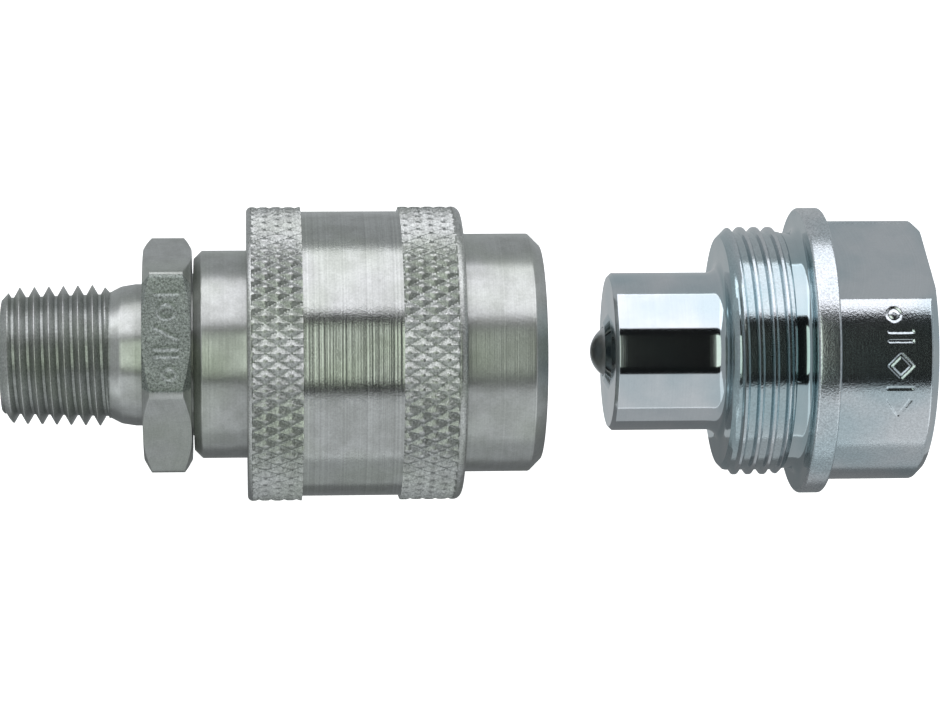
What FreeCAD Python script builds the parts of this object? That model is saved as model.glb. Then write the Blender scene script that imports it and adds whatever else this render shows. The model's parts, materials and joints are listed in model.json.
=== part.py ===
import FreeCAD, Part
import os
import re

import Sketcher
from FreeCAD import Placement, Rotation, Vector

# A screw-together hydraulic quick coupler, shown uncoupled: the coupler half with its hose adapter
# and knurled collar, and the nipple half in line with it. Both halves shut with a spring-loaded ball.
# +X runs along the common axis from the coupler to the nipple, +Z is up and Z = 0 is the surface
# that the collar lies on. Stations on the coupler are measured from its hose end, stations on the
# nipple from the face of its probe, stations on the collar from its rear face. Millimetres.

dims = {
    # clearances
    "face_gap": 0.03,
    "ring_fit": 0.05,
    "seat_fit": 0.02,
    "probe_fit": 0.06,
    "lip_fit": 0.15,
    "thread_fit": 0.1,
    "ball_gap": 0.01,
    "follower_gap": 0.04,
    "body_gap": 0.2,
    "stop_gap": 0.05,
    # how far a cutter runs past what it cuts
    "cut_room": 1.0,
    # how the two halves lie and meet
    "rest_gap": 6.85,
    "mate_gap": 0.3,
    "collar_rest": 5.15,
    # check valves, the same in both halves
    "ball_radius": 2.78,
    "orifice_radius": 2.45,
    "seat_land": 0.196,
    "seat_bore_radius": 3.6,
    "valve_chamber_radius": 4.4,
    "follower_radius": 3.3,
    "follower_thickness": 1.28,
    "follower_stem_radius": 1.6,
    "follower_stem_length": 1.8,
    "spring_wire_radius": 0.35,
    "spring_mean_radius": 2.4,
    "flow_hole_radius": 0.7,
    "flow_hole_circle": 3.6,
    "centre_hole_radius": 1.7,
    # hose adapter; the turn is from upright towards +Y
    "hose_thread_radius": 6.62,
    "hose_thread_length": 10.5,
    "hose_thread_depth": 1.0,
    "hose_first_crest": 1.2,
    "pipe_pitch": 1.411,
    "pipe_taper": 0.03125,
    "hose_bore_radius": 3.2,
    "neck_radius": 6.95,
    "neck_length": 3.3,
    "neck_ramp": 0.5,
    "hex_flats": 20.64,
    "hex_corner_radius": 11.7,
    "hex_width": 4.7,
    "hex_turn": 11.5,
    "spigot_radius": 7.95,
    "spigot_length": 9.0,
    "spigot_groove_setback": 0.8,
    "spigot_groove_width": 2.1,
    "adapter_seal_section": 0.76,
    # coupler body
    "body_radius": 10.2,
    "body_length": 34.0,
    "body_chamfer": 0.8,
    "nose_radius": 11.75,
    "nose_length": 9.85,
    "nose_chamfer": 1.2,
    "nose_edge": 0.2,
    "mouth_lead": 0.8,
    "stop_radius": 6.4,
    "stop_thickness": 1.2,
    "gland_setback": 2.7,
    "gland_width": 3.0,
    "probe_seal_section": 0.82,
    "backup_width": 1.2,
    # coupler valve seat
    "seat_depth": 12.2,
    "seat_length": 4.0,
    "seat_radius": 5.98,
    "seat_lip_height": 0.42,
    "seat_lip_radius": 3.3,
    "seat_lip_foot": 0.6,
    "seat_seal_section": 0.48,
    "seat_seal_setback": 2.0,
    "snap_ring_thickness": 0.6,
    "snap_ring_depth": 0.35,
    "snap_ring_width": 1.1,
    "snap_ring_land": 0.2,
    "snap_ring_mouth": 3.0,
    # collar
    "collar_length": 20.95,
    "collar_band_radius": 14.45,
    "collar_waist_radius": 14.0,
    "collar_rear_edge": 0.5,
    "rear_band_end": 5.35,
    "front_band_start": 14.85,
    "front_band_end": 19.85,
    "band_step": 0.1,
    "collar_front_radius": 13.5,
    "collar_lip_length": 2.4,
    "thrust_ring_radius": 12.6,
    "thrust_ring_thickness": 0.8,
    "collar_bore_radius": 12.5,
    "collar_mouth_lead": 0.4,
    "collar_thread_start": 12.75,
    "collar_thread_end": 20.15,
    # threads
    "coupling_pitch": 1.411,
    "crest_flat": 0.09,
    "thread_half_angle": 30.0,
    # nipple
    "probe_radius": 7.8,
    "probe_length": 11.0,
    "probe_chamfer": 0.35,
    "tip_height": 0.51,
    "tip_radius": 2.9,
    "tip_foot": 0.9,
    "coupling_thread_length": 6.1,
    "coupling_crest_radius": 12.3,
    "coupling_root_radius": 11.55,
    "first_crest": 0.75,
    "relief_radius": 11.7,
    "relief_length": 1.6,
    "relief_ramp": 0.1,
    "flange_radius": 14.17,
    "flange_thickness": 2.3,
    "flange_edge": 0.3,
    "rear_radius": 12.84,
    "rear_length": 9.8,
    "nipple_flats": 22.2,
    "nipple_turn": 52.0,
    "nipple_seat_bore": 4.0,
    "nipple_spring_room": 7.36,
    "retainer_radius": 5.55,
    "retainer_thickness": 2.5,
    "nipple_ring_thickness": 1.0,
    "nipple_ring_depth": 0.5,
    "nipple_ring_width": 1.35,
    "nipple_ring_land": 0.4,
    "port_depth": 14.0,
    "port_radius": 7.25,
    "port_thread_length": 11.0,
    "port_thread_depth": 0.85,
    "port_mouth_radius": 8.9,
    "port_mouth_depth": 0.8,
    "port_mouth_flare": 0.7,
}

# Places and sizes that follow from the driving ones.
derived = {
    "hex_start": "hose_thread_length + neck_length",
    "hex_end": "hex_start + hex_width",
    "spigot_end": "hex_end + spigot_length",
    "spigot_groove_start": "hex_end + spigot_groove_setback",
    "spigot_groove_end": "spigot_groove_start + spigot_groove_width",
    "spigot_groove_radius": "spigot_radius - 2 * adapter_seal_section - face_gap",
    "adapter_seal_radius": "(spigot_groove_radius + rear_bore_radius) / 2",
    "body_start": "hex_end + body_gap",
    "mouth": "body_start + body_length",
    "body_step": "mouth - nose_length",
    "rear_bore_radius": "spigot_radius + ring_fit",
    "rear_bore_end": "spigot_end + face_gap",
    "stop_front": "rear_bore_end + stop_thickness",
    "chamber_start": "stop_front + face_gap",
    "stop_pocket_radius": "stop_radius + 2 * ring_fit",
    "socket_radius": "probe_radius + probe_fit",
    "gland_end": "mouth - gland_setback",
    "gland_start": "gland_end - gland_width",
    "gland_radius": "socket_radius + 2 * probe_seal_section + ring_fit",
    "probe_seal_radius": "(probe_radius + gland_radius) / 2",
    "seat_front": "mouth - seat_depth",
    "seat_start": "seat_front - seat_length",
    "seat_pocket_radius": "seat_radius + seat_fit",
    "seat_lip": "seat_front + seat_lip_height",
    "seat_edge": "seat_lip - seat_land",
    "seat_cone_start": "seat_edge - seat_bore_radius + orifice_radius",
    "seat_seal_station": "seat_front - seat_seal_setback",
    "seat_groove_radius": "seat_radius - 2 * seat_seal_section - seat_fit",
    "seat_groove_half": "seat_seal_section + seat_fit",
    "snap_groove_end": "seat_front + snap_ring_thickness + 2 * face_gap",
    "snap_groove_radius": "seat_pocket_radius + snap_ring_depth",
    "socket_floor": "snap_groove_end + snap_ring_land",
    "ball_reach": "sqrt(ball_radius ^ 2 - orifice_radius ^ 2) + ball_gap",
    "coupler_ball": "seat_edge - ball_reach",
    "coupler_follower_front": "coupler_ball - ball_radius - follower_gap",
    "coupler_follower_back": "coupler_follower_front - follower_thickness",
    "coupler_stem_end": "coupler_follower_back - follower_stem_length",
    "coupler_spring_length": "coupler_follower_back - stop_front - 2 * face_gap",
    "collar_start": "body_start + collar_rest",
    "collar_lip_bore": "body_radius + lip_fit",
    "thrust_room_end": "collar_lip_length + thrust_ring_thickness + 3 * face_gap",
    "thrust_ring_start": "collar_lip_length + face_gap",
    "thrust_ring_front": "thrust_ring_start + thrust_ring_thickness",
    "thrust_ring_bore": "body_radius + ring_fit",
    "collar_travel": "body_step - stop_gap - collar_start - thrust_ring_front",
    "collar_crest_radius": "nose_radius + thread_fit",
    "collar_ridge_half": "crest_flat + (collar_bore_radius - collar_crest_radius) * flank",
    "mated_probe_face": "mouth + mate_gap - probe_length",
    "mated_ridge": "mated_probe_face + probe_length + first_crest + coupling_pitch / 2"
                   " - collar_travel - collar_start",
    "first_ridge": "collar_thread_start + collar_ridge_half"
                   " + mod(mated_ridge - collar_thread_start - collar_ridge_half; coupling_pitch)",
    "flank": "tan(thread_half_angle)",
    "hose_ridge_half": "crest_flat + hose_thread_depth * flank",
    "port_groove_half": "crest_flat + port_thread_depth * flank",
    "crest_half": "crest_flat + (coupling_crest_radius - coupling_root_radius) * flank",
    "thread_end": "probe_length + coupling_thread_length",
    "flange_start": "thread_end + relief_length",
    "flange_end": "flange_start + flange_thickness",
    "nipple_length": "flange_end + rear_length",
    "tip_edge": "seat_land - tip_height",
    "nipple_ball": "tip_edge + ball_reach",
    "tip_cone_end": "tip_edge + seat_bore_radius - orifice_radius",
    "nipple_chamber_start": "nipple_ball + nipple_seat_bore",
    "nipple_follower_front": "nipple_ball + ball_radius + follower_gap",
    "nipple_follower_back": "nipple_follower_front + follower_thickness",
    "nipple_stem_end": "nipple_follower_back + follower_stem_length",
    "nipple_spring_end": "nipple_follower_back + nipple_spring_room",
    "nipple_spring_length": "nipple_spring_room - 2 * face_gap",
    "retainer_back": "nipple_spring_end + retainer_thickness",
    "retainer_bore_radius": "retainer_radius + ring_fit",
    "nipple_groove_end": "retainer_back + nipple_ring_thickness + 2 * face_gap",
    "nipple_groove_radius": "retainer_bore_radius + nipple_ring_depth",
    "port_floor": "nipple_groove_end + nipple_ring_land",
    "port_start": "nipple_length - port_thread_length",
    "overall_length": "mouth + rest_gap + nipple_length",
    "coupler_home": "-overall_length / 2",
    "collar_home": "coupler_home + collar_start",
    "nipple_home": "coupler_home + mouth + rest_gap",
    "axis_height": "collar_band_radius",
}

doc = FreeCAD.newDocument("quick_disconnect_coupler")
sheet = doc.addObject("Spreadsheet::Sheet", "Dims")
for row, (name, size) in enumerate(dims.items(), start=1):
    sheet.set(f"A{row}", name)
    sheet.set(f"B{row}", str(size))
    sheet.setAlias(f"B{row}", name)
doc.recompute()

pieces = {}


def bound(text):
    """Write a size out in terms of the sheet's cells."""
    def swap(match):
        name = match.group(0)
        if name in derived:
            return "(" + bound(derived[name]) + ")"
        return "Dims." + name if name in dims else name
    return re.sub(r"[a-z_]+", swap, text)


def value(text):
    """The number that a size has now."""
    return float(sheet.evalExpression(bound(text)))


def place(piece, label, home, rotation=None):
    """Name a piece and put its own origin at a station on the common axis."""
    piece.Label = label
    piece.Placement = Placement(Vector(0, 0, 0), rotation or Rotation())
    piece.setExpression("Placement.Base.x", bound(home))
    piece.setExpression("Placement.Base.z", bound("axis_height"))
    pieces[label] = piece


def origin_plane(body, role):
    return next(plane for plane in body.Origin.OriginFeatures if plane.Role == role)


def outline(body, name, points, role="XZ_Plane"):
    """A closed sketch whose corners are each tied to the sheet by two sizes."""
    sketch = body.newObject("Sketcher::SketchObject", name)
    sketch.AttachmentSupport = [(origin_plane(body, role), "")]
    sketch.MapMode = "FlatFace"
    corners = [Vector(value(across), value(up), 0) for across, up in points]
    for start, end in zip(corners, corners[1:] + corners[:1]):
        sketch.addGeometry(Part.LineSegment(start, end), False)
    count = len(points)
    for index in range(count):
        sketch.addConstraint(Sketcher.Constraint("Coincident", index, 2, (index + 1) % count, 1))
    for index, (across, up) in enumerate(points):
        for kind, axis, text in (("DistanceX", -2, across), ("DistanceY", -1, up)):
            if text == "0":
                sketch.addConstraint(Sketcher.Constraint("PointOnObject", index, 1, axis))
                continue
            size = Sketcher.Constraint(kind, -1, 1, index, 1, value(text))
            number = sketch.addConstraint(size)
            sketch.setExpression(f"Constraints[{number}]", bound(text))
    return sketch


def turned(label, points, home):
    """A body turned from an outline of (station, radius) corners."""
    body = doc.addObject("PartDesign::Body", label)
    sketch = outline(body, label + "_outline", points)
    turning = body.newObject("PartDesign::Revolution", label + "_turning")
    turning.Profile = sketch
    turning.ReferenceAxis = (sketch, ["H_Axis"])
    turning.Angle = 360
    place(body, label, home)
    return body


def cut_along(body, name, points, start, length, turn="0", copies=1):
    """Cut an outline in the YZ plane from a station forward, repeated around the axis."""
    before = body.Shape.Volume
    sketch = outline(body, name + "_sketch", points, "YZ_Plane")
    sketch.AttachmentOffset = Placement(Vector(0, 0, 0), Rotation(Vector(0, 0, 1), value(turn)))
    sketch.setExpression("AttachmentOffset.Base.z", bound(start))
    sketch.setExpression("AttachmentOffset.Rotation.Angle", bound(turn))
    cut = body.newObject("PartDesign::Pocket", name)
    cut.Profile = sketch
    cut.Reversed = True
    cut.setExpression("Length", bound(length))
    if copies > 1:
        pattern = body.newObject("PartDesign::PolarPattern", name + "_pattern")
        pattern.Originals = [cut]
        pattern.Axis = (sketch, ["N_Axis"])
        pattern.Angle = 360
        pattern.Occurrences = copies
        body.Tip = pattern
    doc.recompute()
    if body.Shape.Volume >= before - 1e-3:
        raise RuntimeError(name + " cut nothing")


def round_holes(body, name, radius, circle, start, length, copies):
    """Drill a ring of round holes along the axis."""
    sketch = body.newObject("Sketcher::SketchObject", name + "_sketch")
    sketch.AttachmentSupport = [(origin_plane(body, "YZ_Plane"), "")]
    sketch.MapMode = "FlatFace"
    sketch.setExpression("AttachmentOffset.Base.z", bound(start))
    centre = Vector(value(circle), 0, 0)
    sketch.addGeometry(Part.Circle(centre, Vector(0, 0, 1), value(radius)), False)
    sketch.addConstraint(Sketcher.Constraint("PointOnObject", 0, 3, -1))
    away = sketch.addConstraint(Sketcher.Constraint("DistanceX", -1, 1, 0, 3, value(circle)))
    sketch.setExpression(f"Constraints[{away}]", bound(circle))
    size = sketch.addConstraint(Sketcher.Constraint("Radius", 0, value(radius)))
    sketch.setExpression(f"Constraints[{size}]", bound(radius))
    hole = body.newObject("PartDesign::Pocket", name)
    hole.Profile = sketch
    hole.Reversed = True
    hole.setExpression("Length", bound(length))
    pattern = body.newObject("PartDesign::PolarPattern", name + "_pattern")
    pattern.Originals = [hole]
    pattern.Axis = (sketch, ["N_Axis"])
    pattern.Angle = 360
    pattern.Occurrences = copies
    body.Tip = pattern


def ridges(first, pitch, count, crest, root, half_flat, half_base):
    """Corners of evenly spaced ridges; crest and root may follow the station, as on a taper."""
    corners = []
    for turn in range(count):
        middle = f"{first} + {turn} * {pitch}"
        corners += [(f"{middle} - {half_base}", root(middle)), (f"{middle} - {half_flat}", crest(middle)),
                    (f"{middle} + {half_flat}", crest(middle)), (f"{middle} + {half_base}", root(middle))]
    return corners


def seal_ring(label, radius, section, home):
    """A round-section sealing ring about the axis."""
    ring = doc.addObject("Part::Torus", label)
    ring.setExpression("Radius1", bound(radius))
    ring.setExpression("Radius2", bound(section))
    place(ring, label, home, Rotation(Vector(0, 1, 0), 90))


def check_ball(label, home):
    ball = doc.addObject("Part::Sphere", label)
    ball.setExpression("Radius", bound("ball_radius"))
    place(ball, label, home)


def coil_spring(label, length, turns, home):
    """An open coil spring that fills a length of the axis."""
    line = doc.addObject("Part::Helix", label + "_line")
    line.setExpression("Radius", bound("spring_mean_radius"))
    line.setExpression("Height", bound(f"{length} - 2 * spring_wire_radius"))
    line.setExpression("Pitch", bound(f"({length} - 2 * spring_wire_radius) / {turns}"))
    wire = doc.addObject("Part::Circle", label + "_wire")
    wire.setExpression("Radius", bound("spring_wire_radius"))
    wire.Placement = Placement(Vector(0, 0, 0), Rotation(Vector(1, 0, 0), 90))
    wire.setExpression("Placement.Base.x", bound("spring_mean_radius"))
    coil = doc.addObject("Part::Sweep", label)
    coil.Sections = [wire]
    coil.Spine = (line, [])
    coil.Solid = True
    coil.Frenet = True
    place(coil, label, f"{home} + spring_wire_radius", Rotation(Vector(0, 1, 0), 90))


def split_ring(label, start, thickness, bore, outside, gap, home):
    """A flat retaining ring with a gap, sprung into a groove."""
    body = turned(label, [(start, bore), (start, outside),
                          (f"{start} + {thickness}", outside), (f"{start} + {thickness}", bore)], home)
    doc.recompute()
    half = f"{gap} / 2"
    corners = [(f"-{half}", f"{bore} - cut_room"), (half, f"{bore} - cut_room"),
               (half, f"{outside} + cut_room"), (f"-{half}", f"{outside} + cut_room")]
    cut_along(body, label + "_gap", corners, f"{start} - cut_room", f"{thickness} + 2 * cut_room")


# ---- coupler half ----

def hose_crest(station):
    return f"hose_thread_radius + ({station}) * pipe_taper"


def hose_root(station):
    return hose_crest(station) + " - hose_thread_depth"


hose_room = value("hose_thread_length - hose_first_crest - hose_ridge_half")
hose_ridges = ridges("hose_first_crest", "pipe_pitch", int(hose_room / dims["pipe_pitch"]) + 1,
                     hose_crest, hose_root, "crest_flat", "hose_ridge_half")

adapter = turned("hose_adapter", [
    ("0", "hose_bore_radius"), ("0", "hose_thread_radius - hose_thread_depth"),
    *hose_ridges,
    ("hose_thread_length", "hose_thread_radius"),
    ("hose_thread_length + neck_ramp", "neck_radius"),
    ("hex_start", "neck_radius"),
    ("hex_start", "hex_corner_radius"), ("hex_end", "hex_corner_radius"),
    ("hex_end", "spigot_radius"),
    ("spigot_groove_start", "spigot_radius"), ("spigot_groove_start", "spigot_groove_radius"),
    ("spigot_groove_end", "spigot_groove_radius"), ("spigot_groove_end", "spigot_radius"),
    ("spigot_end", "spigot_radius"), ("spigot_end", "hose_bore_radius"),
], "coupler_home")
doc.recompute()
cut_along(adapter, "hex_flat", [
    ("-hex_corner_radius", "hex_flats / 2"), ("hex_corner_radius", "hex_flats / 2"),
    ("hex_corner_radius", "hex_corner_radius + cut_room"),
    ("-hex_corner_radius", "hex_corner_radius + cut_room"),
], "hex_start - cut_room", "hex_width + 2 * cut_room", "-hex_turn", copies=6)

seal_ring("adapter_o_ring", "adapter_seal_radius", "adapter_seal_section",
          "coupler_home + spigot_groove_start + spigot_groove_width / 2")

turned("coupler_body", [
    ("body_start", "rear_bore_radius"), ("body_start", "body_radius - body_chamfer"),
    ("body_start + body_chamfer", "body_radius"), ("body_step", "body_radius"),
    ("body_step", "nose_radius - nose_edge"), ("body_step + nose_edge", "nose_radius"),
    ("mouth - nose_chamfer", "nose_radius"), ("mouth", "nose_radius - nose_chamfer"),
    ("mouth", "socket_radius + mouth_lead"), ("mouth - mouth_lead", "socket_radius"),
    ("gland_end", "socket_radius"), ("gland_end", "gland_radius"),
    ("gland_start", "gland_radius"), ("gland_start", "socket_radius"),
    ("socket_floor", "socket_radius"), ("socket_floor", "seat_pocket_radius"),
    ("snap_groove_end", "seat_pocket_radius"), ("snap_groove_end", "snap_groove_radius"),
    ("seat_front", "snap_groove_radius"), ("seat_front", "seat_pocket_radius"),
    ("seat_start - face_gap", "seat_pocket_radius"), ("seat_start - face_gap", "valve_chamber_radius"),
    ("chamber_start", "valve_chamber_radius"), ("chamber_start", "stop_pocket_radius"),
    ("rear_bore_end", "stop_pocket_radius"), ("rear_bore_end", "rear_bore_radius"),
], "coupler_home")

seal_ring("probe_o_ring", "probe_seal_radius", "probe_seal_section",
          "coupler_home + gland_start + probe_seal_section + 2 * face_gap")
turned("probe_backup_ring", [
    ("gland_end - face_gap", "socket_radius + face_gap"),
    ("gland_end - face_gap", "gland_radius - ring_fit"),
    ("gland_end - face_gap - backup_width", "gland_radius - ring_fit"),
    ("gland_end - face_gap - backup_width", "socket_radius + face_gap"),
], "coupler_home")

turned("coupler_valve_seat", [
    ("seat_start", "seat_bore_radius"), ("seat_start", "seat_radius"),
    ("seat_seal_station - seat_groove_half", "seat_radius"),
    ("seat_seal_station - seat_groove_half", "seat_groove_radius"),
    ("seat_seal_station + seat_groove_half", "seat_groove_radius"),
    ("seat_seal_station + seat_groove_half", "seat_radius"),
    ("seat_front", "seat_radius"), ("seat_front", "seat_lip_radius + seat_lip_foot"),
    ("seat_lip", "seat_lip_radius"), ("seat_lip", "orifice_radius"),
    ("seat_edge", "orifice_radius"), ("seat_cone_start", "seat_bore_radius"),
], "coupler_home")
seal_ring("coupler_seat_o_ring", "seat_radius - seat_seal_section", "seat_seal_section",
          "coupler_home + seat_seal_station")
split_ring("coupler_seat_retaining_ring", "(seat_front + face_gap)", "snap_ring_thickness",
           "(snap_groove_radius - ring_fit - snap_ring_width)", "(snap_groove_radius - ring_fit)",
           "snap_ring_mouth", "coupler_home")

check_ball("coupler_check_ball", "coupler_home + coupler_ball")
turned("coupler_ball_follower", [
    ("coupler_stem_end", "0"), ("coupler_stem_end", "follower_stem_radius"),
    ("coupler_follower_back", "follower_stem_radius"), ("coupler_follower_back", "follower_radius"),
    ("coupler_follower_front", "follower_radius"), ("coupler_follower_front", "0"),
], "coupler_home")
coil_spring("coupler_valve_spring", "coupler_spring_length", 5, "coupler_home + stop_front + face_gap")
spring_stop = turned("coupler_spring_stop", [
    ("rear_bore_end", "centre_hole_radius"), ("rear_bore_end", "stop_radius"),
    ("stop_front", "stop_radius"), ("stop_front", "centre_hole_radius"),
], "coupler_home")
doc.recompute()
round_holes(spring_stop, "stop_flow_hole", "flow_hole_radius", "flow_hole_circle",
            "rear_bore_end - cut_room", "stop_thickness + 2 * cut_room", 6)

# ---- collar ----

collar_room = value("collar_thread_end - collar_thread_start - 2 * collar_ridge_half")
collar_ridges = ridges("first_ridge", "coupling_pitch", int(collar_room / dims["coupling_pitch"]),
                       lambda station: "collar_crest_radius", lambda station: "collar_bore_radius",
                       "crest_flat", "collar_ridge_half")
turned("coupling_collar", [
    ("0", "collar_lip_bore"), ("0", "collar_band_radius - collar_rear_edge"),
    ("collar_rear_edge", "collar_band_radius"), ("rear_band_end", "collar_band_radius"),
    ("rear_band_end + band_step", "collar_waist_radius"),
    ("front_band_start - band_step", "collar_waist_radius"),
    ("front_band_start", "collar_band_radius"), ("front_band_end", "collar_band_radius"),
    ("collar_length", "collar_front_radius"), ("collar_length", "collar_bore_radius + collar_mouth_lead"),
    ("collar_length - collar_mouth_lead", "collar_bore_radius"),
    *reversed(collar_ridges),
    ("thrust_room_end", "collar_bore_radius"), ("thrust_room_end", "thrust_ring_radius + ring_fit"),
    ("collar_lip_length", "thrust_ring_radius + ring_fit"), ("collar_lip_length", "collar_lip_bore"),
], "collar_home")
turned("collar_thrust_ring", [
    ("thrust_ring_start", "thrust_ring_bore"), ("thrust_ring_start", "thrust_ring_radius"),
    ("thrust_ring_front", "thrust_ring_radius"), ("thrust_ring_front", "thrust_ring_bore"),
], "collar_home")

# ---- nipple half ----

def port_root(station):
    return f"port_radius + ({station} - port_start) * pipe_taper"


def port_crest(station):
    return port_root(station) + " + port_thread_depth"


nipple_room = value("coupling_thread_length - first_crest - crest_half")
nipple_ridges = ridges("(probe_length + first_crest)", "coupling_pitch",
                       int(nipple_room / dims["coupling_pitch"]) + 1,
                       lambda station: "coupling_crest_radius", lambda station: "coupling_root_radius",
                       "crest_flat", "crest_half")
port_grooves = ridges("(port_start + pipe_pitch)", "pipe_pitch",
                      int(dims["port_thread_length"] / dims["pipe_pitch"]) - 1,
                      port_crest, port_root, "crest_flat", "port_groove_half")
nipple = turned("nipple_body", [
    ("-tip_height", "orifice_radius"), ("-tip_height", "tip_radius"),
    ("0", "tip_radius + tip_foot"), ("0", "probe_radius - probe_chamfer"),
    ("probe_chamfer", "probe_radius"), ("probe_length", "probe_radius"),
    ("probe_length", "coupling_root_radius"),
    *nipple_ridges,
    ("thread_end - relief_ramp", "coupling_root_radius"), ("thread_end", "relief_radius"),
    ("flange_start", "relief_radius"), ("flange_start", "flange_radius - flange_edge"),
    ("flange_start + flange_edge", "flange_radius"), ("flange_end - flange_edge", "flange_radius"),
    ("flange_end", "flange_radius - flange_edge"), ("flange_end", "rear_radius"),
    ("nipple_length", "rear_radius"),
    ("nipple_length", "port_mouth_radius"),
    ("nipple_length - port_mouth_depth", "port_mouth_radius - port_mouth_flare"),
    *reversed(port_grooves),
    ("port_start", "port_radius"), ("port_floor", "port_radius"), ("port_floor", "retainer_bore_radius"),
    ("nipple_groove_end", "retainer_bore_radius"), ("nipple_groove_end", "nipple_groove_radius"),
    ("retainer_back", "nipple_groove_radius"), ("retainer_back", "retainer_bore_radius"),
    ("nipple_spring_end - face_gap", "retainer_bore_radius"),
    ("nipple_spring_end - face_gap", "valve_chamber_radius"),
    ("nipple_chamber_start", "valve_chamber_radius"), ("nipple_chamber_start", "seat_bore_radius"),
    ("tip_cone_end", "seat_bore_radius"), ("tip_edge", "orifice_radius"),
], "nipple_home")
doc.recompute()
cut_along(nipple, "wrench_flat", [
    ("-rear_radius", "nipple_flats / 2"), ("rear_radius", "nipple_flats / 2"),
    ("rear_radius", "rear_radius + cut_room"), ("-rear_radius", "rear_radius + cut_room"),
], "flange_end", "rear_length + cut_room", "-nipple_turn", copies=2)

check_ball("nipple_check_ball", "nipple_home + nipple_ball")
turned("nipple_ball_follower", [
    ("nipple_follower_front", "0"), ("nipple_follower_front", "follower_radius"),
    ("nipple_follower_back", "follower_radius"), ("nipple_follower_back", "follower_stem_radius"),
    ("nipple_stem_end", "follower_stem_radius"), ("nipple_stem_end", "0"),
], "nipple_home")
coil_spring("nipple_valve_spring", "nipple_spring_length", 5,
            "nipple_home + nipple_follower_back + face_gap")
retainer = turned("nipple_spring_retainer", [
    ("nipple_spring_end", "centre_hole_radius"), ("nipple_spring_end", "retainer_radius"),
    ("retainer_back - face_gap", "retainer_radius"), ("retainer_back - face_gap", "centre_hole_radius"),
], "nipple_home")
doc.recompute()
round_holes(retainer, "retainer_flow_hole", "flow_hole_radius", "flow_hole_circle",
            "nipple_spring_end - cut_room", "retainer_thickness + 2 * cut_room", 6)
split_ring("nipple_retaining_ring", "(retainer_back + face_gap)", "nipple_ring_thickness",
           "(nipple_groove_radius - ring_fit - nipple_ring_width)", "(nipple_groove_radius - ring_fit)",
           "snap_ring_mouth", "nipple_home")

doc.recompute()
for item in doc.Objects:
    if "Invalid" in item.State or "Error" in item.State:
        raise RuntimeError(item.Label + " failed")
for label, piece in pieces.items():
    if piece.Shape.isNull() or not piece.Shape.isValid():
        raise RuntimeError(label + " has no valid shape")

os.makedirs("parts", exist_ok=True)
for label, piece in pieces.items():
    piece.Shape.exportStep(f"parts/{label}.step")
    box = piece.Shape.BoundBox
    print(f"{label:30s} x {box.XMin:8.3f} {box.XMax:8.3f}  r {box.YLength / 2:7.3f}"
          f"  volume {piece.Shape.Volume:9.2f}")
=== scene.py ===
import json
import math

import bmesh
import bpy
import numpy as np
from mathutils import Matrix, Vector


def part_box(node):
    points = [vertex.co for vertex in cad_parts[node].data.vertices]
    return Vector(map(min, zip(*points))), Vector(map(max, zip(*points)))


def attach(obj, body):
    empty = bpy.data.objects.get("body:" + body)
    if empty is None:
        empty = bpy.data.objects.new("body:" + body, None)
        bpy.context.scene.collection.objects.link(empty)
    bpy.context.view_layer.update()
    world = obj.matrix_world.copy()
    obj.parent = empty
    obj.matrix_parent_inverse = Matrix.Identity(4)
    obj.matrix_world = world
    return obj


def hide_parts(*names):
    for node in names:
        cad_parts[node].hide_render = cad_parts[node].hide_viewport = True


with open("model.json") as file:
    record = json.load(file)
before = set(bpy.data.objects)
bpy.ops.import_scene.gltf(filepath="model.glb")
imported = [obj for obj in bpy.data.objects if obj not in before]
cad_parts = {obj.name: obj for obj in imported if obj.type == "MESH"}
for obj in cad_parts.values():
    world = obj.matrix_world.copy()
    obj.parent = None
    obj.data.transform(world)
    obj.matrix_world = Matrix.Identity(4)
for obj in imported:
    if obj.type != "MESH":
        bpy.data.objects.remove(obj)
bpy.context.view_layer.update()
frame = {"nodes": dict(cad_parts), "record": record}
print("frame loaded")

# A screw-together hydraulic quick coupler, uncoupled. Everything is turned about one axis along X,
# so each visible steel piece is built from rows of points around that axis. Sizes are millimetres.

milli = 0.001
axisHeight = (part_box("coupling_collar")[0].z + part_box("coupling_collar")[1].z) / 2
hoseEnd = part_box("hose_adapter")[0].x / milli           # coupler stations are counted from here
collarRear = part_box("coupling_collar")[0].x / milli     # and the collar's from here
pitch = 1.4111                                          # 18 threads to the inch, on every thread here
flank = math.tan(math.radians(30))
arcPoints = 9                                           # points along a rounded corner
flankPoints = 5                                         # points up each side of a thread
weldGap = 2e-6                                          # metres; points closer than this become one
hair = 1e-3                                             # keeps neighbouring edges apart


# shapes

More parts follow.
